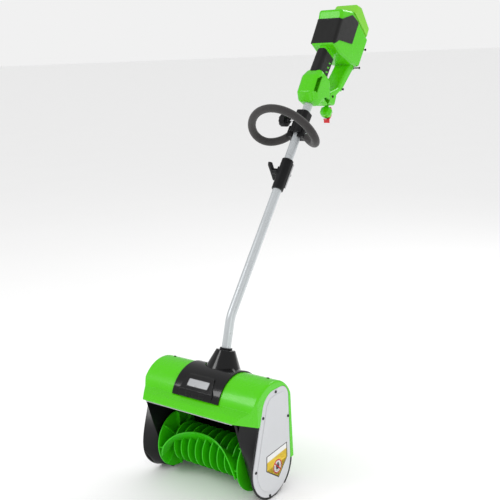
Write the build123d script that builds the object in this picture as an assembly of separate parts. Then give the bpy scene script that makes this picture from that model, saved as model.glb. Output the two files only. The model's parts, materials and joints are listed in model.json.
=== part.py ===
from build123d import *
from math import cos, radians, sin, sqrt
import os

# Battery snow thrower: a 30 cm single-stage auger head on a two-piece pole with a rear power handle.
# Millimetres. X runs across the machine, -Y is forward, +Z is up. The origin is on the ground under
# the auger's axis, at the middle of the width.

# ---- head ----
COVER_BACK = 187.0  # inner plane of each side cover
COVER_THICK = 3.0
COVER_CROWN = 2.0
INTAKE_HALF = 150.0  # half of the 300 mm clearing width
WALL = 3.0
AXIS_Z = 88.0  # auger axis above the ground
ROTOR_R = 80.0
CHANNEL_R = 86.0  # inside of the snow channel
HOOD_Y = 12.0  # hood barrel axis
HOOD_Z = 225.0
HOOD_R = 88.0
HOOD_HALF = 190.0
MOTOR_Y = 18.0
MOTOR_Z = 236.0
MOTOR_R = 28.0
BELT_X = 171.0  # middle of the belt
BELT_WIDTH = 10.0
BIG_PULLEY_R = 55.0
SMALL_PULLEY_R = 14.0
SHAFT_R = 8.0  # auger shaft
MOTOR_SHAFT_R = 4.0
RUN = 0.05  # radial running clearance
GAP = 0.3  # clearance between moving plastic parts
HOOD_SCREW_X = (-160, 160)
HOOD_SCREW_TURN = 14.5  # behind the top of the hood
SOCKET_ANGLES = (45, 135, 225, 315)
OUTER_FRONT = [(-66, 170), (-82, 118), (-83, 60), (-54, 19), (-12, 0)]
OUTER_BROW = [(-27, 268), (-51, 222)]
INNER_FRONT = [(-79, 158), (-58, 96), (-27, 20), (-12, 0)]
INNER_BROW = [(-40, 270), (-101, 231)]
COVER_SCREWS = [(24, 283), (-33, 231), (-71, 98), (-16, 12), (75, 199)]

# ---- pole ----
TUBE_R = 12.7
TUBE_WALL = 1.5
BOOT_LEAN = 16.9  # lean of the lower stub from the vertical
POLE_LEAN = 36.8  # lean of the pole from the vertical
BEND = (0.0, 89.5, 435.0)  # where the two tube axes meet
BEND_R = 90.0
STUB = 88.8  # visible tube between the boot and the bend
BOOT_HEIGHT = 54.0
SLEEVE = (390.0, 486.0)  # coupler, measured along the pole from the bend
SLEEVE_R = 17.0
JOINT_A = 424.0  # where the upper tube ends inside the coupler
CLAMP = (570.0, 642.0)  # loop-handle clamp
UPPER_END = 735.0

# ---- loop handle ----
LOOP_A = 583.0
LOOP_HALF = 91.0
LOOP_RISE = 75.0
LOOP_LEAN = -7.0
LOOP_TUBE_R = 8.0
LOOP_GRIP_R = 11.5

# ---- power handle (along the pole, above the pole) ----
HANDLE_HALF = 42.0
GRIP_HALF = 18.0
GUARD_HALF = 27.0
NOSE_HALF = 34.0
SHELL = 3.0
POCKET_HALF = 36.3  # battery pocket
REAR_OUTLINE = [
    (858, 40), (938, 47), (968, 58), (1003, 2),
    (986, -118), (888, -121), (872, -84), (856, -10),
]
NOSE_OUTLINE = [
    (676, -14), (672, 18), (692, 40), (748, 44), (776, 30),
    (776, -20), (752, -44), (726, -60), (704, -58), (698, -28),
]
CHIN_OUTLINE = [(698, -26), (728, -90), (758, -84), (772, -64), (748, -44), (744, -10)]
GUARD_OUTLINE = [
    (728, -90), (754, -80), (796, -101), (892, -121), (905, -100),
    (884, -88), (784, -73), (752, -50), (735, -50),
]
GRIP_OUTLINE = [(744, 30), (866, 33), (866, -22), (744, -22)]
SADDLE_OUTLINE = [(860, 70), (862, 36), (883, 22), (916, -43), (991, -39), (987, 3), (942, 44), (942, 70)]
ROOM_OUTLINE = [(858, 40), (938, 47), (944, 20), (944, -119), (888, -121), (872, -84), (856, -10)]
GUARD_ROOM = [(745, -70), (757, -62), (796, -84), (870, -100), (870, -108), (798, -92), (756, -72)]
NOSE_ROOMS = [
    [(698, 35), (738, 38), (752, 30), (752, 17), (698, 17)],
    [(706, -18), (750, -18), (750, -42), (728, -55), (708, -54)],
]
HANDLE_SCREWS = [(950, -119), (884, -120), (792, -98), (742, -62)]
SCREW_FACES = [42, 42, 27, 27]
TRIGGER_PIVOT = (763, -13)
LOCK_AT = (745, 2)
KNOB_AT = (708, -94)
LATCH_SIZE = (26, 34)
LATCH_AT = (985, 30)
LATCH_TURN = -58

side = Plane.YZ.location  # side view of the head: local x, y, z are global Y, Z, X
pole_dir = Vector(0, sin(radians(POLE_LEAN)), cos(radians(POLE_LEAN)))
pole = Plane(origin=BEND, x_dir=pole_dir, z_dir=(1, 0, 0)).location
boot_dir = Vector(0, sin(radians(BOOT_LEAN)), cos(radians(BOOT_LEAN)))
boot_base = Vector(BEND) - boot_dir * (STUB + BOOT_HEIGHT)
boot = Plane(origin=boot_base, x_dir=(1, 0, 0), z_dir=boot_dir).location
latch_frame = Pos(*LATCH_AT, 0) * Rot(0, 0, LATCH_TURN)


def prism(points, low, high):
    """A side-view polygon stretched across the width from low to high."""
    return plate(Polygon(*points, align=None), low, high)


def plate(face, low, high):
    """A side-view face stretched across the width from low to high."""
    return Pos(0, 0, low) * extrude(face, amount=high - low, dir=(0, 0, 1))


def cross_rod(x, y, radius, low, high):
    """A round bar across the width in a side-view frame."""
    return Pos(x, y, (low + high) / 2) * Cylinder(radius, high - low)


def pole_rod(radius, low, high, n=0.0, x=0.0):
    """A round bar along the pole, in the pole frame."""
    return Pos((low + high) / 2, n, x) * Rot(0, 90, 0) * Cylinder(radius, high - low)


def mirrored(shape):
    """The same shape on the other side of the machine's middle plane."""
    return mirror(shape, about=Plane.YZ)


def soften(shape, edges, radius):
    """Round the given edges, or the largest radius that they accept."""
    for share in (1.0, 0.6, 0.3):
        try:
            return fillet(edges, radius * share)
        except (ValueError, RuntimeError):
            continue
    return shape


def save(name, *shapes):
    """Write one node as a group of closed solids."""
    solids = [s for shape in shapes for s in shape.solids()]
    node = solids[0] if len(solids) == 1 else Compound(children=solids)
    node.label = name
    export_step(node, f"parts/{name}.step")


# ---------------------------------------------------------------- head shells


def teardrop(grow):
    """Outline of a side cover: a round bottom under two smaller rounds at the top."""
    rounds = [
        Pos(0, 87) * Circle(81 + grow),
        Pos(15, 240) * Circle(50 + grow),
        Pos(45, 255) * Circle(35 + grow),
    ]
    return make_hull([c.edge() for c in rounds])


def compartment(front, brow, inset):
    """Profile of a side compartment; the front and brow differ between its inner and outer end."""
    top = (20, 294 - inset)
    corner = (brow[1][0] + inset, brow[1][1] - inset)
    toe = (front[-1][0] + inset, inset)
    heel = (13 - inset, inset)
    middle = [(y + inset, z) for y, z in front[:-1]]
    return make_face(
        [
            Spline(top, (brow[0][0] + inset, brow[0][1] - inset), corner),
            Spline(corner, *middle, toe),
            Line(toe, heel),
            ThreePointArc(heel, (61 - inset, 27 + inset), (85 - inset, 90)),
            Spline((85 - inset, 90), (85 - inset, 200), (70 - inset, 266 - inset), top),
        ]
    )


def side_compartment():
    """Hollow box at the +X end that holds the belt; open on its outer face, where the cover fits."""

    def stretch(inset, low, high):
        inner = Pos(0, 0, low) * compartment(INNER_FRONT, INNER_BROW, inset)
        outer = Pos(0, 0, high) * compartment(OUTER_FRONT, OUTER_BROW, inset)
        return loft([inner, outer], ruled=True)

    body = stretch(0, INTAKE_HALF, COVER_BACK)
    body -= stretch(WALL, INTAKE_HALF + WALL, COVER_BACK - WALL)
    mouth = plate(compartment(OUTER_FRONT, OUTER_BROW, 11), COVER_BACK - 2 * WALL, COVER_BACK + 1)
    body -= mouth
    body += cross_rod(0, AXIS_Z, 21, INTAKE_HALF + WALL, INTAKE_HALF + 13)
    body -= cross_rod(0, AXIS_Z, 16, INTAKE_HALF + 5, INTAKE_HALF + 14)
    body -= cross_rod(0, AXIS_Z, SHAFT_R + 2, INTAKE_HALF - 1, INTAKE_HALF + 14)
    body -= cross_rod(MOTOR_Y, MOTOR_Z, MOTOR_SHAFT_R + 3, INTAKE_HALF - 1, INTAKE_HALF + 14)
    return side * body


def snow_channel():
    """Curved back and rising roof of the intake, one sheet between the compartments."""

    def sheet_face(radius, extra):
        start, finish = radians(-68), radians(65)
        low = (radius * cos(start), AXIS_Z + radius * sin(start))
        high = (radius * cos(finish), AXIS_Z + radius * sin(finish))
        lip = (-103, 230.5 + extra)
        return low, (radius, AXIS_Z), high, lip

    a = sheet_face(CHANNEL_R, 0)
    b = sheet_face(CHANNEL_R + WALL, WALL * 1.1)
    sheet = make_face(
        [
            ThreePointArc(a[0], a[1], a[2]),
            Line(a[2], a[3]),
            Line(a[3], b[3]),
            Line(b[3], b[2]),
            ThreePointArc(b[2], b[1], b[0]),
            Line(b[0], a[0]),
        ]
    )
    reach = INTAKE_HALF + 1
    return side * plate(sheet, -reach, reach)


def auger_housing():
    box = side_compartment()
    housing = box + mirrored(box) + snow_channel()
    save("auger_housing", housing - hood_skin())


def hood_profile(inset):
    """Hood section: visor, barrel and rear wall. The inset one is the hollow, open at the bottom."""
    r = HOOD_R - inset
    drop = 0 if inset == 0 else 20
    crease_z = 255 - inset
    crease = (HOOD_Y - sqrt(r**2 - (crease_z - HOOD_Z) ** 2), crease_z)
    rear_y = 89 - inset
    rear = (rear_y, HOOD_Z + sqrt(r**2 - (rear_y - HOOD_Y) ** 2))
    lip = (-108 + inset, 236 - inset)
    return make_face(
        [
            Polyline(lip, (-93 + inset * 0.5, 246 - inset), crease),
            ThreePointArc(crease, (HOOD_Y, HOOD_Z + r), rear),
            Polyline(rear, (91.5 - inset, 177), (95 - inset, 79 - drop), (60, 79 - drop)),
            Polyline((60, 79 - drop), (60, 200 - drop), (-52, 212 - drop), (-108 + inset, 233 - drop), lip),
        ]
    )


def hood_block(inset):
    """Solid inside the hood's skin: the section across the width, with the front corners cut back."""
    half = HOOD_HALF
    plan = Polygon(
        (-half, 100), (-half, -55), (-154, -108), (154, -108), (half, -55), (half, 100), align=None
    )
    if inset:
        plan = offset(plan, -inset, kind=Kind.INTERSECTION)
    block = side * plate(hood_profile(inset), -half + inset, half - inset)
    block &= Pos(0, 0, 40) * extrude(plan, amount=300)
    rims = block.edges().filter_by(GeomType.CIRCLE)
    rims = [e for e in rims if abs(abs(e.center().X) - half + inset) < 0.5]
    return soften(block, rims, 20 - inset)


def hood_skin():
    """The hood with its end openings, the hole for the pole's socket and its screw holes."""
    hood = hood_block(0) - hood_block(WALL)
    opening = side * plate(teardrop(0.6), -HOOD_HALF - 5, HOOD_HALF + 5)
    core = side * plate(teardrop(0.6), -COVER_BACK + 0.01, COVER_BACK - 0.01)
    hood -= opening - core
    hood -= boot * boot_clearance()
    for x in HOOD_SCREW_X:
        hood -= side * hood_screw_rod(x, 2.2, HOOD_R - 10, HOOD_R + 5)
    return hood


def boot_clearance():
    """Room for the boot above its seat, for the socket through the seat and for the socket's screws."""
    room = Pos(0, 0, 30) * Cylinder(50.3, 60) + Cylinder(22, 90)
    for angle in SOCKET_ANGLES:
        room += Rot(0, 0, angle) * Pos(34, 0, -10) * Cylinder(2.5, 24)
    return room


def hood_screw_rod(x, radius, low, high):
    """A round bar square to the hood's surface at a screw, in the side view, from its barrel's axis."""
    turn = Pos(HOOD_Y, HOOD_Z, x) * Rot(0, 0, -HOOD_SCREW_TURN)
    return turn * Pos(0, (low + high) / 2, 0) * Rot(90, 0, 0) * Cylinder(radius, high - low)


def hood_cover():
    save("hood_cover", hood_skin())


def hood_point(angle, radius):
    """A point on the hood section, the angle measured up from the front."""
    return HOOD_Y - radius * cos(radians(angle)), HOOD_Z + radius * sin(radians(angle))


def motor_cover():
    """Black saddle over the middle of the hood, with a flat panel in front and a seat for the boot."""
    half = 78.0
    inner, outer = HOOD_R + 0.01, HOOD_R + 4
    band = make_face(
        [
            ThreePointArc(hood_point(20, outer), hood_point(80, outer), hood_point(146, outer)),
            Line(hood_point(146, outer), hood_point(146, inner)),
            ThreePointArc(hood_point(146, inner), hood_point(80, inner), hood_point(20, inner)),
            Line(hood_point(20, inner), hood_point(20, outer)),
        ]
    )
    saddle = plate(band, -half, half)
    low, mid, high, top = (
        hood_point(21, HOOD_R + 5.5),
        hood_point(32, HOOD_R + 8),
        hood_point(57, HOOD_R + 8),
        hood_point(74, HOOD_R + 4),
    )
    wedge = prism([low, mid, high, top, (HOOD_Y, HOOD_Z)], -half, half)
    rise = (Vector(0, *high) - Vector(0, *mid)).normalized()
    face_plane = Plane(origin=(0, *mid), x_dir=(1, 0, 0), z_dir=Vector(1, 0, 0).cross(rise))
    outline = Polygon((-52, -24), (52, -24), (56, 0), (40, 46), (-40, 46), (-56, 0), align=None)
    panel = side * wedge & face_plane.location * extrude(outline, amount=40, both=True)
    seat = boot * Pos(0, 0, -8) * Cylinder(54, 16)
    cover = side * saddle + panel + seat
    cover -= hood_block(0)
    cover -= boot * boot_clearance()
    body = max(cover.solids(), key=lambda s: s.volume)
    for x in (-22, 22):
        body -= Pos(x, *low) * Box(2.4, 30, 9)
    save("motor_cover", body)


def shaft_boot():
    """Leaning cone over the foot of the pole, with a ring at its mouth."""
    outer = Cone(50, 26, BOOT_HEIGHT, align=(Align.CENTER, Align.CENTER, Align.MIN))
    inner = Cone(47, 23, BOOT_HEIGHT - WALL, align=(Align.CENTER, Align.CENTER, Align.MIN))
    shell = outer - inner
    shell = soften(shell, shell.edges().filter_by(GeomType.CIRCLE).sort_by(Axis.Z)[-1:], 3)
    shell -= Pos(0, 0, BOOT_HEIGHT) * Cylinder(TUBE_R + 0.2, 12)
    ring = Pos(0, 0, BOOT_HEIGHT + 2.5) * (Cylinder(17, 5) - Cylinder(TUBE_R, 6))
    save("shaft_boot", boot * shell)
    save("boot_ring", boot * ring)


def shaft_socket():
    """Cast sleeve and flange that hold the foot of the pole."""
    flange = Pos(0, 0, 3) * Cylinder(42, 6)
    sleeve = Pos(0, 0, 9) * Cylinder(20, 62)
    socket = flange + sleeve - Cylinder(TUBE_R, 120)
    for angle in SOCKET_ANGLES:
        socket -= Rot(0, 0, angle) * Pos(34, 0, 3) * Cylinder(2.5, 10)
    save("shaft_socket", boot * socket)
    screws = []
    for angle in SOCKET_ANGLES:
        screw = Pos(34, 0, 8) * Cylinder(4, 4) + Pos(34, 0, -1) * Cylinder(2.4, 15)
        screws.append(boot * Rot(0, 0, angle) * screw)
    save("socket_screws", *screws)


def side_covers():
    """Crowned grey end covers with a raised field inside a rounded border."""
    rim = plate(teardrop(0), COVER_BACK, COVER_BACK + COVER_THICK)
    rim = soften(rim, rim.faces().sort_by(Axis.Z)[-1].edges(), 1.5)
    field = plate(teardrop(-15), COVER_BACK + COVER_THICK - 0.5, COVER_BACK + COVER_THICK + COVER_CROWN)
    field = soften(field, field.faces().sort_by(Axis.Z)[-1].edges(), 1.6)
    cover = side * (rim + field)
    for y, z in COVER_SCREWS:
        cover -= side * cross_rod(y, z, 2.1, COVER_BACK - 1, COVER_BACK + 6)
    save("drive_side_cover", cover)
    save("idle_side_cover", mirrored(cover))
    screws = []
    for y, z in COVER_SCREWS:
        face = COVER_BACK + COVER_THICK
        screw = side * (cross_rod(y, z, 3.6, face, face + 1.8) + cross_rod(y, z, 2.0, face - 3, face + 0.5))
        screws += [screw, mirrored(screw)]
    save("side_cover_screws", *screws)


def hood_screws():
    screws = []
    for x in HOOD_SCREW_X:
        head = hood_screw_rod(x, 3.6, HOOD_R, HOOD_R + 1.8)
        screws.append(side * (head + hood_screw_rod(x, 2.1, HOOD_R - 9, HOOD_R + 0.5)))
    save("hood_screws", *screws)


def hazard_label():
    """Blank five-sided warning plate on the drive side."""
    face = COVER_BACK + COVER_THICK + COVER_CROWN
    outline = [(-27, 124), (64, 131), (64, 90), (23, 47), (-30, 84)]
    save("hazard_label", side * prism(outline, face, face + 0.4))


def scraper():
    """Replaceable blade under the back of the channel, with a wear strip behind it."""
    blade = prism([(34, 0), (50, 0), (54, 10), (54, 26), (34, 26)], -149, 149)
    blade -= cross_rod(0, AXIS_Z, CHANNEL_R + WALL, -150, 150)
    save("scraper_blade", side * blade)
    ring = Circle(94) - Circle(89.3)
    sector = Polygon((0, 0), (200, -28), (200, -256), align=None)
    strip = (Pos(0, AXIS_Z) * ring) & (Pos(0, AXIS_Z) * sector)
    save("rear_wear_strip", side * plate(strip, -186, 186))


# ---------------------------------------------------------------- drive


def auger():
    """Shaft, finned drum with end discs, two arched paddles and the driven pulley."""
    shaft = cross_rod(0, AXIS_Z, SHAFT_R, -172, 182)
    save("auger_shaft", side * shaft)
    drum = cross_rod(0, AXIS_Z, 24, -134, 134)
    for k in range(-4, 5):
        drum += cross_rod(0, AXIS_Z, 55, 25 * k - 1.5, 25 * k + 1.5)
    for end in (-1, 1):
        disc = cross_rod(0, AXIS_Z, ROTOR_R - 1, *sorted((end * 134, end * 137)))
        for k in range(8):
            rib = Pos(45, 0, end * 129) * Box(62, 3, 10)
            disc += Pos(0, AXIS_Z, 0) * Rot(0, 0, 45 * k) * rib
        drum += disc
    drum -= cross_rod(0, AXIS_Z, SHAFT_R, -140, 140)
    drum = side * drum
    save("auger_drum", drum)
    paddle = side * Pos(0, AXIS_Z, 0) * paddle_sheet()
    front = max((paddle - drum).solids(), key=lambda s: s.volume)
    back = Pos(0, 0, AXIS_Z) * Rot(180, 0, 0) * Pos(0, 0, -AXIS_Z) * paddle
    back = max((back - drum).solids(), key=lambda s: s.volume)
    save("paddle_front", front)
    save("paddle_back", back)


def paddle_sheet():
    """Arched sheet: its edge climbs from one end disc over the top and down to the other."""
    rows = []
    for step in range(17):
        t = radians(-84 + 10.5 * step)
        x = 127 * sin(t)
        turn = radians(205 - 75 * cos(t))
        rows.append([Vector(r * cos(turn), r * sin(turn), x) for r in (20, 40, 60, 80)])
    face = Face.make_surface_from_array_of_points(rows)
    return Solid.thicken(face, 1.8) + Solid.thicken(face, -1.8)


def drive_train():
    """Motor on its bracket, pulleys and belt in the drive-side compartment."""
    near, far = BELT_X - BELT_WIDTH / 2, BELT_X + BELT_WIDTH / 2

    def pulley(y, z, radius, bore):
        wheel = cross_rod(y, z, radius, near - 0.5, far + 0.5)
        wheel += cross_rod(y, z, radius + 2.6, near - 2.5, near - 0.5)
        wheel += cross_rod(y, z, radius + 2.6, far + 0.5, far + 2.5)
        return wheel - cross_rod(y, z, bore, near - 4, far + 4)

    def loop(grow):
        big = Pos(0, AXIS_Z) * Circle(BIG_PULLEY_R + grow)
        small = Pos(MOTOR_Y, MOTOR_Z) * Circle(SMALL_PULLEY_R + grow)
        return make_hull([big.edge(), small.edge()])

    driven = pulley(0, AXIS_Z, BIG_PULLEY_R, SHAFT_R)
    for k in range(5):
        hole = Pos(33, 0, BELT_X) * Cylinder(9, 30)
        driven -= Pos(0, AXIS_Z, 0) * Rot(0, 0, 72 * k) * hole
    save("driven_pulley", side * driven)
    save("drive_pulley", side * pulley(MOTOR_Y, MOTOR_Z, SMALL_PULLEY_R, MOTOR_SHAFT_R))
    save("drive_belt", side * plate(loop(3) - loop(GAP), near, far))
    save("motor_shaft", side * cross_rod(MOTOR_Y, MOTOR_Z, MOTOR_SHAFT_R, -50, 178))
    can = cross_rod(MOTOR_Y, MOTOR_Z, MOTOR_R, -48, 42)
    can += cross_rod(MOTOR_Y, MOTOR_Z, 12, 42, 48)
    can -= cross_rod(MOTOR_Y, MOTOR_Z, MOTOR_SHAFT_R + RUN, -52, 50)
    save("motor_can", side * can)
    roof = [(-42, 205.6), (44, 165.6), (44, 240), (-24, 240)]
    saddles = prism(roof, -40, -30) + prism(roof, 24, 34)
    base = prism([(-42, 205.6), (44, 165.6), (44, 169.6), (-42, 209.6)], -40, 34)
    bracket = saddles + base - cross_rod(MOTOR_Y, MOTOR_Z, MOTOR_R, -50, 50)
    save("motor_bracket", side * bracket - snow_channel())
    for name, low in (("drive_bearing", 155), ("idle_bearing", -163)):
        ring = cross_rod(0, AXIS_Z, 16, low, low + 8) - cross_rod(0, AXIS_Z, SHAFT_R + RUN, low - 1, low + 9)
        save(name, side * ring)


# ---------------------------------------------------------------- pole


def lower_pole():
    """Bent lower tube with the motor lead inside it."""
    foot = Vector(BEND) - boot_dir * 150
    end = Vector(BEND) + pole_dir * (JOINT_A - 2)
    path = FilletPolyline(foot, Vector(BEND), end, radius=BEND_R)
    start = Plane(origin=foot, x_dir=(1, 0, 0), z_dir=boot_dir)
    tube = sweep(start * (Circle(TUBE_R) - Circle(TUBE_R - TUBE_WALL)), path=path)
    save("lower_tube", tube)
    lead_end = Vector(BEND) + pole_dir * 396
    lead_foot = Vector(BEND) - boot_dir * 162
    lead_path = FilletPolyline(lead_foot, Vector(BEND), lead_end, radius=BEND_R)
    lead = sweep(Plane(origin=lead_foot, x_dir=(1, 0, 0), z_dir=boot_dir) * Circle(3.5), path=lead_path)
    save("motor_lead", lead)
    plug = pole_rod(9, 396, 421) - pole_rod(3, 408, 422)
    save("lower_connector", pole * plug)


def coupler():
    """Clamp sleeve that joins the two tubes, with its wing knob, strip, bolt and release button."""
    low, high = SLEEVE
    sleeve = pole_rod(SLEEVE_R, low, high)
    sleeve = soften(sleeve, sleeve.edges().filter_by(GeomType.CIRCLE), 1.5)
    ears = Pos(448, -18, 0) * Box(60, 12, 16)
    sleeve += ears
    sleeve += Pos(448, 0, -15) * Box(26, 16, 10)
    sleeve -= pole_rod(TUBE_R, low - 5, JOINT_A)
    sleeve -= pole_rod(TUBE_R + RUN, JOINT_A - 1, high + 5)
    sleeve -= Pos(452, -18, 0) * Box(72, 16, 2.4)
    sleeve -= cross_rod(448, -20, 2.6, -30, 30)
    sleeve -= Pos(402, -14, 0) * Rot(90, 0, 0) * Cylinder(4.2, 16)
    save("coupler_sleeve", pole * sleeve)
    bolt = cross_rod(448, -20, 2.5, -10, 11) + cross_rod(448, -20, 4.0, 8.2, 12)
    save("coupler_bolt", pole * bolt)
    strip = Pos(440, -10, 16.2) * Box(78, 5, 2)
    strip -= pole_rod(SLEEVE_R, low - 1, high + 1)
    save("coupler_strip", pole * strip)
    hub = cross_rod(448, 0, 9, -36, -20.3)
    wing = Polygon((-6, 0), (6, 0), (9, -24), (4, -32), (-3, -27), align=None)
    for turn in (-35, 145):
        hub += Pos(448, 0, -35) * Rot(0, 0, turn) * extrude(wing, amount=8)
    save("coupler_knob", pole * hub)
    button = Pos(402, -19.6, 0) * Rot(90, 0, 0) * Cylinder(3.9, 6.8)
    save("release_button", pole * button)


def upper_pole():
    tube = pole_rod(TUBE_R, JOINT_A, UPPER_END) - pole_rod(TUBE_R - TUBE_WALL, JOINT_A - 1, UPPER_END + 1)
    save("upper_tube", pole * tube)
    pins = pole_rod(2.6, 410, 440) + pole_rod(10.5, 430, 446)
    save("upper_connector", pole * pins)
    save("upper_lead", pole * pole_rod(3.5, 446, 752))


# ---------------------------------------------------------------- loop handle


def loop_point(angle):
    """Centre line of the loop in the pole frame; the angle runs round it from its middle on one side."""
    t = radians(angle)
    side_sag = cos(t) ** 2
    rise = LOOP_RISE * (1 + sin(t))
    lean = radians(LOOP_LEAN)
    along = LOOP_A + rise * sin(lean) - 41 * side_sag
    above = rise * cos(lean) - 48 * side_sag
    return along, above, LOOP_HALF * cos(t) * (1 + 0.54 * sin(t))


def loop_tube(radius, first, last):
    """Round bar along the loop between two angles."""
    count = 13
    points = [loop_point(first + (last - first) * k / (count - 1)) for k in range(count)]
    line = Spline(*points)
    return sweep(Plane(origin=line @ 0, z_dir=line % 0) * Circle(radius), path=line)


def loop_handle():
    """Loop held in a two-part clamp that slides and turns on the pole."""
    grip = loop_tube(LOOP_GRIP_R, -54, 234)
    core = loop_tube(LOOP_TUBE_R, -63, 243)
    save("loop_grip", pole * (grip - core))
    save("loop_tube", pole * core)
    low, high = CLAMP
    liner = pole_rod(15, low + 2, high - 2) - pole_rod(TUBE_R + RUN, low, high)
    save("clamp_liner", pole * liner)
    block = Pos(606, 4, 0) * Box(72, 40, 40)
    block = soften(block, block.edges().filter_by(Axis.X), 12)
    block += Pos(576, -1, 0) * Box(34, 27, 58)
    block -= pole_rod(15.05, low - 20, high + 2)
    bolt_n = 20.0
    block -= cross_rod(606, bolt_n, 3.1, -60, 60)
    block -= core + grip
    right = block & Pos(606, 0, 50.5) * Box(200, 200, 100)
    left = block & Pos(606, 0, -50.5) * Box(200, 200, 100)
    save("clamp_right", pole * max(right.solids(), key=lambda s: s.volume))
    save("clamp_left", pole * max(left.solids(), key=lambda s: s.volume))
    bolt = cross_rod(606, bolt_n, 3.0, -34, 22) + cross_rod(606, bolt_n, 6, 20, 24)
    save("clamp_bolt", pole * bolt)
    knob = cross_rod(606, bolt_n, 18, -56, -38) + cross_rod(606, bolt_n, 8, -38, -28)
    for k in range(10):
        flute = Pos(18.8, 0, -47) * Cylinder(2.6, 30)
        knob -= Pos(606, bolt_n, 0) * Rot(0, 0, 36 * k) * flute
    knob -= cross_rod(606, bolt_n, 3.0 + RUN, -35, 0)
    save("loop_knob", pole * knob)


# ---------------------------------------------------------------- power handle


def rounded(points, half, edge, corner):
    """A side-view polygon with rounded corners, stretched to +-half and rounded along its sides."""
    face = Polygon(*points, align=None)
    face = fillet(face.vertices(), corner)
    body = extrude(face, amount=half, both=True)
    caps = [f for f in body.faces() if abs(abs(f.center().Z) - half) < 0.1]
    return soften(body, ShapeList([e for f in caps for e in f.edges()]), edge)


def handle_solid():
    """Outside of the power handle before it is hollowed and split."""
    body = rounded(REAR_OUTLINE, HANDLE_HALF, 10, 8)
    body += rounded(NOSE_OUTLINE, NOSE_HALF, 20, 9)
    body += rounded(CHIN_OUTLINE, GUARD_HALF, 8, 6)
    body += rounded(GUARD_OUTLINE, GUARD_HALF, 8, 6)
    body += rounded(GRIP_OUTLINE, GRIP_HALF - 2, 12, 12)
    return body


def room(points, half, wall=SHELL):
    """Hollow inside a side-view outline, one wall thickness in from it."""
    return extrude(offset(Polygon(*points, align=None), -wall), amount=half - wall, both=True)


def screw_rods(radius, low, high):
    """Round bars across the handle at its screws, in the pole frame."""
    rods = [cross_rod(a, n, radius, low, high) for a, n in HANDLE_SCREWS]
    return rods


def handle_body():
    """Power handle with its rooms, pockets and bores, before it is split into two halves."""
    body = handle_solid()
    for boss in screw_rods(6.5, -20, 20):
        body += boss
    body -= room(ROOM_OUTLINE, HANDLE_HALF)
    body -= room(GUARD_ROOM, GUARD_HALF, 1.0)
    for outline in NOSE_ROOMS:
        body -= room(outline, NOSE_HALF, 0.5)
    body -= prism([(944, -16), (1020, -16), (1010, -106), (944, -106)], -POCKET_HALF, POCKET_HALF)
    body -= Pos(940, -60, 0) * Box(16, 40, 40)
    body -= pole_rod(TUBE_R, 640, UPPER_END)
    body -= pole_rod(4, 700, 860)
    body -= Pos(790, 0, 0) * Box(64, 20, 22)
    body -= trigger_slot(0)
    body -= cross_rod(*TRIGGER_PIVOT, 1.5 + RUN, -9.3, 9.3)
    body -= cross_rod(*LOCK_AT, 6.3, -40, -22)
    for bore in screw_rods(2.1, -HANDLE_HALF, HANDLE_HALF):
        body -= bore
    latch = latch_frame * Pos(0, -6, 0) * Box(LATCH_SIZE[0] + 0.6, 14, LATCH_SIZE[1] + 0.6)
    return body - latch


def trigger_slot(grow):
    return Pos(781, -24, 0) * Box(46.6 + grow, 44, 12.6 + grow)


def handle_shells():
    body = handle_body()
    for shell, sign in (("handle_shell_right", 1), ("handle_shell_left", -1)):
        half = body & Pos(850, 0, sign * 100) * Box(500, 400, 200)
        save(shell, pole * max(half.solids(), key=lambda s: s.volume))
    screws = []
    for (a, n), out in zip(HANDLE_SCREWS, SCREW_FACES):
        screws.append(pole * (cross_rod(a, n, 3.6, out, out + 1.8) + cross_rod(a, n, 2.0, -12, out + 0.5)))
    save("handle_screws", *screws)


def grip_covers():
    """Soft sleeve round the grip with three slanted slots a side, and the black saddle behind it."""
    solid = handle_solid()
    sleeve = rounded([(766, 34.5), (850, 34.5), (850, -23.5), (766, -23.5)], GRIP_HALF, 12, 4)
    for k in range(3):
        sleeve -= Pos(792 + 15 * k, -9, 0) * Rot(0, 0, 24) * Box(5.5, 19, 60)
    sleeve -= solid + trigger_slot(1)
    save("grip_sleeve", pole * max(sleeve.solids(), key=lambda s: s.volume))
    outer = rounded([(a, n + (1.8 if n > 30 else 0)) for a, n in REAR_OUTLINE], HANDLE_HALF + 1.8, 10, 8)
    mask = prism(SADDLE_OUTLINE, -60, 60)
    saddle = (outer & mask) - solid
    save("control_saddle", pole * max(saddle.solids(), key=lambda s: s.volume))


def switch_gear():
    """Trigger, its switch, the lock button, the control board and the terminal block."""
    lever = [(758.5, -8), (800, -11), (803, -20), (797, -34), (782, -37), (768, -31), (758.5, -20)]
    trigger = extrude(fillet(Polygon(*lever, align=None).vertices(), 2), amount=6, both=True)
    trigger += cross_rod(*TRIGGER_PIVOT, 1.5, -9, 9)
    save("trigger", pole * trigger)
    save("trigger_switch", pole * (Pos(786, 3.5, 0) * Box(36, 12, 18)))
    button = cross_rod(*LOCK_AT, 6.0, -36.5, -26)
    save("lock_button", pole * soften(button, button.faces().sort_by(Axis.Z)[0].edges(), 1.5))
    board = Pos(902, -38, 22) * Box(50, 100, 1.6)
    board += Pos(895, -10, 26) * Box(16, 20, 7)
    board += Pos(905, -60, 26) * Box(24, 14, 7)
    save("control_board", pole * board)
    block = Pos(936.5, -60, 0) * Box(14.9, 40, 40)
    for k in range(4):
        block += Pos(944, -72 + 8 * k, 0) * Box(10, 2, 20)
    save("terminal_block", pole * block)


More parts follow.
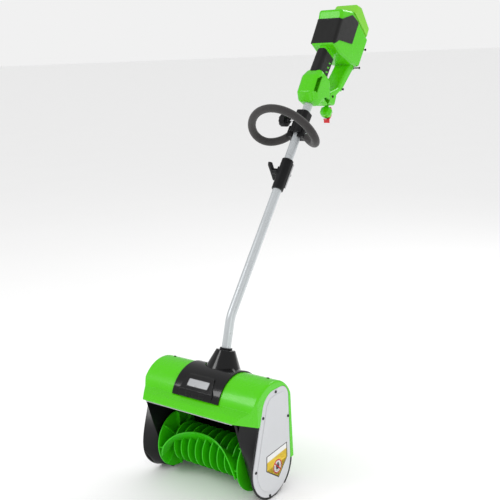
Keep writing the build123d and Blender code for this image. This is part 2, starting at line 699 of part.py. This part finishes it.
def battery():
    """Slide-in pack: a stepped case, ten cells and four contact plates, with the latch above it."""
    insert = [(950, -16.6), (1003, -16.6), (990, -105.4), (950, -105.4)]
    outside = [(1001.5, -4), (1036, -9), (1044, -34), (1020, -108), (987, -112)]
    case = rounded(outside, HANDLE_HALF - 1, 9, 5)
    case += prism(insert, -POCKET_HALF + 0.5, POCKET_HALF - 0.5)
    case -= prism([(940, 30), (1006.5, 2.4), (989, -122), (940, -140)], -60, 60) - prism(
        [(940, -16.6), (1010, -16.6), (1000, -105.4), (940, -105.4)], -POCKET_HALF + 0.5, POCKET_HALF - 0.5
    )
    hollow = [(952.5, -19), (1012, -14), (1036, -30), (1014, -103), (952.5, -103)]
    case -= prism(hollow, -33.2, 33.2)
    for k in range(4):
        case -= Pos(951, -72 + 8 * k, 0) * Box(6, 3.2, 21)
    save("battery_case", pole * case)
    cells = []
    for column, rows in ((963, 4), (982, 4), (1001, 2)):
        for row in range(rows):
            cells.append(pole * cross_rod(column, -93 + 19 * row + (9 if rows == 2 else 0), 9.0, -32.5, 32.5))
    save("battery_cells", *cells)
    plates = [pole * (Pos(953.2, -72 + 8 * k, 0) * Box(1.4, 5, 24)) for k in range(4)]
    save("battery_contacts", *plates)
    latch = latch_frame * Pos(0, -1.5, 0) * Box(LATCH_SIZE[0], 8, LATCH_SIZE[1])
    save("battery_latch", pole * soften(latch, latch.edges().filter_by(Axis.Z), 0.8))


def strap_point():
    """Faceted knob at the chin with a sprung clip behind it."""
    a, n = KNOB_AT
    octagon = RegularPolygon(18, 8)
    ball = extrude(octagon, amount=15, both=True)
    ball = chamfer(ball.faces().sort_by(Axis.Z)[-1].edges(), 7)
    ball = chamfer(ball.faces().sort_by(Axis.Z)[0].edges(), 7)
    knob = Pos(a, n, 0) * Rot(0, 90, 0) * ball
    knob += Pos(a + 12, n + 8, 0) * Rot(0, 90, 0) * Cylinder(6, 14)
    knob -= handle_solid()
    knob = max(knob.solids(), key=lambda s: s.volume)
    save("strap_knob", pole * knob)
    arc = Circle(23.5) - Circle(20)
    sector = Polygon((0, 0), (60, -18), (60, -80), (-60, -80), (-60, -18), align=None)
    clip = extrude(arc & sector, amount=6, both=True)
    clip += Pos(-19, -17, 0) * Rot(0, 0, 40) * Box(14, 4, 18)
    clip -= Cylinder(19.5, 60)
    save("strap_clip", pole * Pos(a, n, 0) * clip)


if __name__ == "__main__":
    os.makedirs("parts", exist_ok=True)
    auger_housing()
    hood_cover()
    motor_cover()
    shaft_boot()
    shaft_socket()
    side_covers()
    hood_screws()
    hazard_label()
    scraper()
    auger()
    drive_train()
    lower_pole()
    coupler()
    upper_pole()
    loop_handle()
    handle_shells()
    grip_covers()
    switch_gear()
    battery()
    strap_point()
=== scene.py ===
import json
import math

import bmesh
import bpy
from mathutils import Matrix, Vector


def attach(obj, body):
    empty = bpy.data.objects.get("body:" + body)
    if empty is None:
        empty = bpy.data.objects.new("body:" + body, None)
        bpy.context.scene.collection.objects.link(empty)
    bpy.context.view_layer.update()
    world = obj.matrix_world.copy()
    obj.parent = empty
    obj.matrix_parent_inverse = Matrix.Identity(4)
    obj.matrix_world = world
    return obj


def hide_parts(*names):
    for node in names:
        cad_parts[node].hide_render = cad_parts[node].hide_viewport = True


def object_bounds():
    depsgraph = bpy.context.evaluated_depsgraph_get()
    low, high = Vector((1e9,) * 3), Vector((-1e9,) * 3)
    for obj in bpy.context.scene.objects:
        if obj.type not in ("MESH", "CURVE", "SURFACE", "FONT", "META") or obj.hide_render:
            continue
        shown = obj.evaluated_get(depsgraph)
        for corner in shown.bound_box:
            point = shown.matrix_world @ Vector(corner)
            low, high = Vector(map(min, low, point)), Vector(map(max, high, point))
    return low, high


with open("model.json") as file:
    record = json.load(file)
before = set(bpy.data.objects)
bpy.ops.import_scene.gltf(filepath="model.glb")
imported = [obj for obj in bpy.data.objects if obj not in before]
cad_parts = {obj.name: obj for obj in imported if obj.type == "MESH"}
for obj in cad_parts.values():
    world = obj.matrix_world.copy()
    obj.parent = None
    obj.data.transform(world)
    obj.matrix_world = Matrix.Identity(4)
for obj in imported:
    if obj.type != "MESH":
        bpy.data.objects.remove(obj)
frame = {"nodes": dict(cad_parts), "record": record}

CAD_BOX = [list(corner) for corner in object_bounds()]

# Battery snow thrower. Metres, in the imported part's frame: +X to the drive side, -Y forward, +Z up.

GREEN = (0.085, 0.600, 0.001)
GREEN_DEEP = (0.036, 0.520, 0.002)
BLACK = (0.004, 0.004, 0.0045)
SILVER = (0.62, 0.65, 0.67)
PALE_GREY = (0.60, 0.61, 0.63)
BATTERY_GREEN = (0.22, 0.66, 0.03)

# ---------------------------------------------------------------- materials


def start_material(name):
    material = bpy.data.materials.new(name)
    material.use_nodes = True
    tree = material.node_tree
    return material, tree, tree.nodes["Principled BSDF"]


def noise(tree, scale, detail=3.0, stretch=(1, 1, 1)):
    """Noise on the object's own coordinates, which are the part's frame in metres."""
    coords = tree.nodes.new("ShaderNodeTexCoord")
    mapping = tree.nodes.new("ShaderNodeMapping")
    mapping.inputs["Scale"].default_value = stretch
    texture = tree.nodes.new("ShaderNodeTexNoise")
    texture.inputs["Scale"].default_value = scale
    texture.inputs["Detail"].default_value = detail
    tree.links.new(coords.outputs["Object"], mapping.inputs["Vector"])
    tree.links.new(mapping.outputs["Vector"], texture.inputs["Vector"])
    return texture.outputs["Fac"]


def between(tree, value, low, high):
    """The 0..1 value stretched between two numbers."""
    node = tree.nodes.new("ShaderNodeMapRange")
    node.inputs["From Min"].default_value = 0.3
    node.inputs["From Max"].default_value = 0.7
    node.inputs["To Min"].default_value = low
    node.inputs["To Max"].default_value = high
    tree.links.new(value, node.inputs["Value"])
    return node.outputs["Result"]


def mixed(tree, value, first, second):
    """A colour between two, by a 0..1 value. The second may be another node's output."""
    node = tree.nodes.new("ShaderNodeMix")
    node.data_type = "RGBA"
    tree.links.new(value, node.inputs["Factor"])
    for socket, colour in (("A", first), ("B", second)):
        target = [s for s in node.inputs if s.name == socket and s.type == "RGBA"][0]
        if isinstance(colour, bpy.types.NodeSocket):
            tree.links.new(colour, target)
        else:
            target.default_value = (*colour, 1)
    return [s for s in node.outputs if s.type == "RGBA"][0]


def scaled(colour, factor):
    return tuple(min(1.0, c * factor) for c in colour)


def soft_normal(tree, radius):
    """Normals rounded over the edges, as a mould leaves them."""
    node = tree.nodes.new("ShaderNodeBevel")
    node.samples = 6
    node.inputs["Radius"].default_value = radius
    return node.outputs["Normal"]


def edge_mask(tree, rounded):
    """0 on flats and up to 1 on edges: where the rounded normal leaves the true one."""
    geometry = tree.nodes.new("ShaderNodeNewGeometry")
    dot = tree.nodes.new("ShaderNodeVectorMath")
    dot.operation = "DOT_PRODUCT"
    tree.links.new(rounded, dot.inputs[0])
    tree.links.new(geometry.outputs["Normal"], dot.inputs[1])
    node = tree.nodes.new("ShaderNodeMapRange")
    node.inputs["From Min"].default_value = 1.0
    node.inputs["From Max"].default_value = 0.75
    tree.links.new(dot.outputs["Value"], node.inputs["Value"])
    return node.outputs["Result"]


def bump(tree, shader, height, strength, distance, normal=None):
    node = tree.nodes.new("ShaderNodeBump")
    node.inputs["Strength"].default_value = strength
    node.inputs["Distance"].default_value = distance
    tree.links.new(height, node.inputs["Height"])
    if normal is not None:
        tree.links.new(normal, node.inputs["Normal"])
    tree.links.new(node.outputs["Normal"], shader.inputs["Normal"])


def moulded(
    name, colour, rough, grain=0.25, coat=0.0, edge=0.0012, mottle=0.05, worn=1.5, specular=0.5
):
    """Injection-moulded plastic: fine mould texture, slight colour drift, paler worn edges."""
    material, tree, shader = start_material(name)
    shader.inputs["Coat Weight"].default_value = coat
    shader.inputs["Coat Roughness"].default_value = 0.06
    shader.inputs["Specular IOR Level"].default_value = specular
    drift = mixed(tree, noise(tree, 9.0), scaled(colour, 1 - mottle), scaled(colour, 1 + mottle))
    rounded = soft_normal(tree, edge)
    scuffs = tree.nodes.new("ShaderNodeMath")
    scuffs.operation = "MULTIPLY"
    tree.links.new(edge_mask(tree, rounded), scuffs.inputs[0])
    tree.links.new(between(tree, noise(tree, 160.0, 5.0), 0.0, 0.7), scuffs.inputs[1])
    worn_colour = scaled([c + 0.012 for c in colour], worn)
    paint = mixed(tree, scuffs.outputs["Value"], drift, worn_colour)
    tree.links.new(paint, shader.inputs["Base Color"])
    gloss = between(tree, noise(tree, 55.0, 4.0), rough * 0.85, rough * 1.15)
    tree.links.new(gloss, shader.inputs["Roughness"])
    bump(tree, shader, noise(tree, 1400.0, 2.0), grain, 0.00012, rounded)
    return material


def metal(name, colour, rough, stretch=(1, 1, 1), metallic=1.0, grain=0.2, scale=600.0):
    """Turned, brushed or painted metal: streaks along the stretched direction."""
    material, tree, shader = start_material(name)
    shader.inputs["Metallic"].default_value = metallic
    streaks = noise(tree, scale, 4.0, stretch)
    paint = mixed(tree, streaks, scaled(colour, 0.86), scaled(colour, 1.08))
    tree.links.new(paint, shader.inputs["Base Color"])
    gloss = between(tree, noise(tree, 30.0, 4.0), rough * 0.8, rough * 1.25)
    tree.links.new(gloss, shader.inputs["Roughness"])
    bump(tree, shader, streaks, grain, 0.0001, soft_normal(tree, 0.0006))
    return material


def soft_rubber(name, colour, rough, pores=900.0, depth=0.5, sheen=0.25):
    """Foam or soft rubber: pores, dusty sheen and slow colour drift."""
    material, tree, shader = start_material(name)
    shader.inputs["Sheen Weight"].default_value = sheen
    shader.inputs["Sheen Roughness"].default_value = 0.5
    shader.inputs["Specular IOR Level"].default_value = 0.35
    cells = tree.nodes.new("ShaderNodeTexVoronoi")
    cells.inputs["Scale"].default_value = pores
    coords = tree.nodes.new("ShaderNodeTexCoord")
    tree.links.new(coords.outputs["Object"], cells.inputs["Vector"])
    paint = mixed(tree, noise(tree, 14.0), scaled(colour, 0.85), scaled(colour, 1.2))
    tree.links.new(paint, shader.inputs["Base Color"])
    gloss = between(tree, noise(tree, 70.0, 4.0), rough * 0.9, rough * 1.1)
    tree.links.new(gloss, shader.inputs["Roughness"])
    bump(tree, shader, cells.outputs["Distance"], depth, 0.0003, soft_normal(tree, 0.001))
    return material


def brushed_tube():
    """Silver lacquered tube with fine draw lines along the pole."""
    return metal("tube_silver_mat", SILVER, 0.30, stretch=(1, 1, 0.06), metallic=0.35, grain=0.12)


LOOKS = {
    "green_plastic": moulded(
        "green_plastic_mat", GREEN, 0.26, grain=0.12, coat=0.2, edge=0.0016, specular=0.35
    ),
    "auger_green": moulded(
        "auger_green_mat", GREEN_DEEP, 0.34, grain=0.2, edge=0.001, worn=1.9, specular=0.3
    ),
    "black_gloss": moulded(
        "black_gloss_mat", BLACK, 0.14, grain=0.05, coat=0.3, edge=0.0018, worn=2.0, specular=0.4
    ),
    "black_matte": moulded(
        "black_matte_mat", (0.006, 0.006, 0.007), 0.40, grain=0.6, worn=2.2, specular=0.3
    ),
    "grip_rubber": soft_rubber("grip_rubber_mat", (0.006, 0.006, 0.006), 0.6, sheen=0.1),
    "loop_foam": soft_rubber(
        "loop_foam_mat", (0.034, 0.031, 0.031), 0.68, pores=1300.0, depth=0.35, sheen=0.2
    ),
    "cover_grey": moulded(
        "cover_grey_mat", PALE_GREY, 0.36, grain=0.35, mottle=0.03, worn=1.1, specular=0.35
    ),
    "tube_silver": brushed_tube(),
    "screw_black": metal("screw_black_mat", (0.02, 0.02, 0.022), 0.35, metallic=0.8),
    "steel": metal("steel_mat", (0.55, 0.55, 0.56), 0.28),
    "cast_alloy": metal("cast_alloy_mat", (0.5, 0.51, 0.52), 0.5, scale=1500.0, grain=0.5),
    "scraper_black": moulded("scraper_black_mat", (0.018, 0.018, 0.018), 0.5, grain=0.7, worn=3.0),
    "label_yellow": moulded("label_yellow_mat", (0.80, 0.55, 0.01), 0.35, grain=0.05, mottle=0.02),
    "belt_rubber": soft_rubber("belt_rubber_mat", (0.02, 0.02, 0.02), 0.7),
    "bearing_steel": metal("bearing_steel_mat", (0.7, 0.7, 0.7), 0.15),
    "motor_steel": metal("motor_steel_mat", (0.2, 0.2, 0.21), 0.4),
    "pulley_nylon": moulded("pulley_nylon_mat", (0.7, 0.67, 0.58), 0.5),
    "lead_rubber": soft_rubber("lead_rubber_mat", (0.02, 0.02, 0.02), 0.5),
    "brass_contact": metal("brass_contact_mat", (0.75, 0.53, 0.22), 0.25),
    "board_green": moulded("board_green_mat", (0.02, 0.14, 0.05), 0.4),
    "clip_red": moulded("clip_red_mat", (0.68, 0.008, 0.012), 0.25, coat=0.4),
    "trigger_grey": moulded("trigger_grey_mat", (0.62, 0.64, 0.64), 0.3),
    "button_grey": moulded("button_grey_mat", (0.42, 0.43, 0.44), 0.25, coat=0.3),
    "cell_wrap": moulded("cell_wrap_mat", (0.06, 0.2, 0.45), 0.3),
    "plate_dark": moulded("plate_dark_mat", (0.012, 0.012, 0.013), 0.3, grain=0.05, specular=0.4),
    "plate_white": moulded(
        "plate_white_mat", (0.80, 0.80, 0.78), 0.3, grain=0.05, mottle=0.02, worn=1.0
    ),
    "badge_grey": metal(
        "badge_grey_mat", (0.42, 0.43, 0.44), 0.3, metallic=0.6, stretch=(0.1, 1, 1)
    ),
    "battery_green": moulded(
        "battery_green_mat", BATTERY_GREEN, 0.16, grain=0.06, coat=0.4, edge=0.002
    ),
}


def dress_cad():
    """Every carried-over CAD node takes the look of its material slot."""
    for part in frame["record"]["subparts"]:
        node = frame["nodes"][part["node"]]
        node.data.materials.clear()
        node.data.materials.append(LOOKS[part["material_slot"]])


# ---------------------------------------------------------------- added pieces

MM = 0.001
PLATE_FACE = 0.192  # outer face of the drive-side cover
PLATE_OUTLINE = [(-27, 124), (64, 131), (64, 90), (23, 47), (-30, 84)]  # y, z in mm
PLATE_MIDDLE = (18, 97)
PLATE_BORDER = 0.93  # the pale field's size as a part of the plate's
MARK_CENTRE = (19, 80)
MARK_RADII = (19, 15.5)
MARK_PALM = [
    (-6, -7), (5, -8), (8, 0), (6, 3), (6, 10), (3, 10),
    (2, 3), (1, 11), (-2, 11), (-2, 3), (-5, 9), (-8, 7),
]
MARK_BAR = [(-12.5, 9.6), (-9.6, 12.5), (12.5, -9.6), (9.6, -12.5)]
PANEL_FOOT = Vector((0, -0.06941, 0.27587))  # foot of the motor cover's front panel
PANEL_RISE = Vector((0, 0.7009, 0.7133))
PANEL_OUT = Vector((0, -0.7133, 0.7009))
BAND_FOOT = Vector((0, -0.07529, 0.25851))
BAND_RISE = Vector((0, 0.3210, 0.9471))
BAND_OUT = Vector((0, -0.9471, 0.3210))
BAND_TILES = [(-22, 9.5), (0, 10.5), (22, 9.5)]  # middle and half width of each, in mm
# The bead is a painted highlight: a pale grey bar standing for the gloss along the black roof's front
# edge.
BEAD_AT = (-103.2, 229.4)  # y, z in mm
BEAD_RADIUS = 1.5
BEAD_HALF = 146
BEAD_STEP = 7.3
BEAD_RINGS = 41
BEAD_SIDES = 10


def solid_piece(name, body, faces_by_look):
    """One object from slabs. Each is an outline, the offset that thickens it and a look."""
    mesh = bpy.data.meshes.new(name)
    shape = bmesh.new()
    looks = []
    for outline, thick, look in faces_by_look:
        if look not in looks:
            looks.append(look)
        low = [shape.verts.new(p) for p in outline]
        high = [shape.verts.new(p + thick) for p in outline]
        index = looks.index(look)
        count = len(outline)
        faces = [shape.faces.new(high), shape.faces.new(low[::-1])]
        for i in range(count):
            j = (i + 1) % count
            faces.append(shape.faces.new((low[i], low[j], high[j], high[i])))
        for face in faces:
            face.material_index = index
    bmesh.ops.recalc_face_normals(shape, faces=shape.faces)
    shape.to_mesh(mesh)
    shape.free()
    for look in looks:
        mesh.materials.append(LOOKS[look])
    piece = bpy.data.objects.new(name, mesh)
    bpy.context.scene.collection.objects.link(piece)
    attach(piece, body)
    return piece


def on_plate(y, z, lift):
    return Vector((PLATE_FACE + lift * MM, y * MM, z * MM))


def shrunk(factor):
    cy, cz = PLATE_MIDDLE
    return [(cy + (y - cy) * factor, cz + (z - cz) * factor) for y, z in PLATE_OUTLINE]


def ring_points(centre, radius, count=48):
    turns = [2 * math.pi * i / count for i in range(count)]
    return [(centre[0] + radius * math.cos(t), centre[1] + radius * math.sin(t)) for t in turns]


def on_plate_all(points, lift, shift=(0, 0)):
    return [on_plate(shift[0] + y, shift[1] + z, lift) for y, z in points]


def add_warning_plate():
    """Blank five-sided plate: dark border, pale head, yellow foot and a generic barred ring."""
    layer = Vector((0.08 * MM, 0, 0))
    thin = Vector((0.06 * MM, 0, 0))
    ink = Vector((0.02 * MM, 0, 0))
    pale = shrunk(PLATE_BORDER)
    left = pale[0][1] + (pale[4][1] - pale[0][1]) * 0.42
    right = pale[1][1] + (pale[2][1] - pale[1][1]) * 0.36
    foot = [(pale[0][0] - 1.2, left), (pale[1][0], right), pale[2], pale[3], pale[4]]
    slabs = [
        (on_plate_all(PLATE_OUTLINE, 0.0), layer, "plate_dark"),
        (on_plate_all(pale, 0.08), layer, "plate_white"),
        (on_plate_all(foot, 0.16), layer, "label_yellow"),
        (on_plate_all(ring_points(MARK_CENTRE, MARK_RADII[0]), 0.24), thin, "clip_red"),
        (on_plate_all(ring_points(MARK_CENTRE, MARK_RADII[1]), 0.30), thin, "plate_white"),
        (on_plate_all(MARK_PALM, 0.36, MARK_CENTRE), ink, "plate_dark"),
        (on_plate_all(MARK_BAR, 0.38, MARK_CENTRE), ink, "clip_red"),
    ]
    plate = solid_piece("warning_plate", "head", slabs)
    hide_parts("hazard_label")


def rounded_panel(half, low, high, corner):
    """Rounded rectangle in a panel's own two directions."""
    points = []
    for cx, cz, start in ((half, high, 0), (-half, high, 90), (-half, low, 180), (half, low, 270)):
        mx = cx - math.copysign(corner, cx)
        mz = cz - (corner if cz == high else -corner)
        for step in range(7):
            turn = math.radians(start + 15 * step)
            points.append((mx + corner * math.cos(turn), mz + corner * math.sin(turn)))
    return points


def laid(points, foot, rise, out, lift):
    """Flat points carried onto a slope: across, up its rise and lifted off it, in mm."""
    slope = []
    for x, z in points:
        slope.append(foot + Vector((x * MM, 0, 0)) + rise * (z * MM) + out * (lift * MM))
    return slope


def add_cover_panels():
    """Blank badge on the motor cover's front panel and a glossy band of three tiles below it."""
    badge = laid(rounded_panel(37, 8, 33, 5), PANEL_FOOT, PANEL_RISE, PANEL_OUT, -0.2)
    inner = laid(rounded_panel(34, 10.5, 30.5, 3.5), PANEL_FOOT, PANEL_RISE, PANEL_OUT, 0.6)
    slabs = [
        (badge, PANEL_OUT * 0.9 * MM, "plate_dark"),
        (inner, PANEL_OUT * 0.5 * MM, "badge_grey"),
    ]
    solid_piece("cover_badge", "head", slabs)
    slabs = []
    for x, half in BAND_TILES:
        tile = [(px + x, pz) for px, pz in rounded_panel(half, 3, 14, 2.5)]
        outline = laid(tile, BAND_FOOT, BAND_RISE, BAND_OUT, -0.2)
        slabs.append((outline, BAND_OUT * 0.8 * MM, "black_gloss"))
    solid_piece("cover_band", "head", slabs)


def add_visor_highlight_bead():
    """Painted highlight: a thin pale grey bar along the black roof's front edge, under the visor, in
    place of the gloss on that edge.
    """
    mesh = bpy.data.meshes.new("visor_highlight_bead")
    shape = bmesh.new()
    rings = []
    for step in range(BEAD_RINGS):
        x = (-BEAD_HALF + BEAD_STEP * step) * MM
        ring = []
        for k in range(BEAD_SIDES):
            turn = 2 * math.pi * k / BEAD_SIDES
            y = (BEAD_AT[0] + BEAD_RADIUS * math.cos(turn)) * MM
            z = (BEAD_AT[1] + BEAD_RADIUS * math.sin(turn)) * MM
            ring.append(shape.verts.new((x, y, z)))
        rings.append(ring)
    for a, b in zip(rings, rings[1:]):
        for k in range(BEAD_SIDES):
            j = (k + 1) % BEAD_SIDES
            shape.faces.new((a[k], a[j], b[j], b[k])).smooth = True
    shape.faces.new(rings[0][::-1])
    shape.faces.new(rings[-1])
    bmesh.ops.recalc_face_normals(shape, faces=shape.faces)
    shape.to_mesh(mesh)
    shape.free()
    # Pale grey here is the painted highlight of the roof's front edge.
    mesh.materials.append(LOOKS["cover_grey"])
    bead = bpy.data.objects.new("visor_highlight_bead", mesh)
    bpy.context.scene.collection.objects.link(bead)
    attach(bead, "head")


# ---------------------------------------------------------------- stage

CAMERA_SPOT = Vector((1.4167, -1.6528, 1.1194))
CAMERA_AZIMUTH = math.radians(37.6)
CAMERA_DOWN = math.radians(12.6)
CAMERA_ROLL = math.radians(-2.2)
CAMERA_LENS = 62.47
SENSOR = 36.0
SKY = 0.88
REFLECTED_SKY = 0.40  # what glossy surfaces see of the sky, so that black plastic stays black
FLOOR_RADIUS = 900.0
FLOOR_GAP = 0.0005
FLOOR_SHADES = ((0.985, 0.985, 0.985), (1.0, 1.0, 1.0))
LIGHTS = [  # name, where, what it faces, size, watts
    ("key", (-1.6, -2.2, 2.6), (0, 0, 0.4), (1.4, 1.4), 26),
    ("fill", (2.6, -1.2, 1.2), (0, 0, 0.5), (0.8, 1.8), 9),
    ("rim", (0.6, 2.4, 2.4), (0, 0.2, 0.6), (1.8, 0.8), 20),
]


def add_camera():
    back = Vector(
        (
            math.sin(CAMERA_AZIMUTH) * math.cos(CAMERA_DOWN),
            -math.cos(CAMERA_AZIMUTH) * math.cos(CAMERA_DOWN),
            math.sin(CAMERA_DOWN),
        )
    )
    right = Vector((math.cos(CAMERA_AZIMUTH), math.sin(CAMERA_AZIMUTH), 0))
    up = back.cross(right)
    across = math.cos(CAMERA_ROLL) * right + math.sin(CAMERA_ROLL) * up
    over = math.cos(CAMERA_ROLL) * up - math.sin(CAMERA_ROLL) * right
    camera = bpy.data.objects.new("camera", bpy.data.cameras.new("camera"))
    camera.data.lens = CAMERA_LENS
    camera.data.sensor_width = SENSOR
    turn = Matrix((across, over, back)).transposed().to_4x4()
    camera.matrix_world = Matrix.Translation(CAMERA_SPOT) @ turn
    bpy.context.scene.collection.objects.link(camera)
    bpy.context.scene.camera = camera


def add_light(name, spot, aim, size, power):
    lamp = bpy.data.lights.new(name, "AREA")
    lamp.shape = "RECTANGLE"
    lamp.size, lamp.size_y = size
    lamp.energy = power
    holder = bpy.data.objects.new(name, lamp)
    holder.location = spot
    holder.rotation_euler = (Vector(aim) - Vector(spot)).to_track_quat("-Z", "Y").to_euler()
    bpy.context.scene.collection.objects.link(holder)


def add_floor():
    mesh = bpy.data.meshes.new("floor")
    shape = bmesh.new()
    bmesh.ops.create_circle(shape, cap_ends=True, radius=FLOOR_RADIUS, segments=96)
    shape.to_mesh(mesh)
    shape.free()
    floor = bpy.data.objects.new("floor", mesh)
    floor.location.z = CAD_BOX[0][2] - FLOOR_GAP
    material, tree, shader = start_material("floor_mat")
    shader.inputs["Roughness"].default_value = 0.85
    tree.links.new(mixed(tree, noise(tree, 2.0), *FLOOR_SHADES), shader.inputs["Base Color"])
    mesh.materials.append(material)
    bpy.context.scene.collection.objects.link(floor)


def add_studio():
    world = bpy.data.worlds.new("studio")
    bpy.context.scene.world = world
    world.use_nodes = True
    sky = world.node_tree.nodes["Background"]
    sky.inputs["Color"].default_value = (1, 1, 1, 1)
    rays = world.node_tree.nodes.new("ShaderNodeLightPath")
    dimmed = world.node_tree.nodes.new("ShaderNodeMath")
    dimmed.operation = "MULTIPLY_ADD"
    dimmed.inputs[1].default_value = REFLECTED_SKY - SKY
    dimmed.inputs[2].default_value = SKY
    world.node_tree.links.new(rays.outputs["Is Glossy Ray"], dimmed.inputs[0])
    world.node_tree.links.new(dimmed.outputs["Value"], sky.inputs["Strength"])
    for light in LIGHTS:
        add_light(*light)
    settings = bpy.context.scene.view_settings
    settings.view_transform = "Standard"
    settings.look = "None"


dress_cad()
frame["nodes"]["battery_case"].data.materials[0] = LOOKS["battery_green"]
add_warning_plate()
add_cover_panels()
add_visor_highlight_bead()
add_camera()
add_floor()
add_studio()
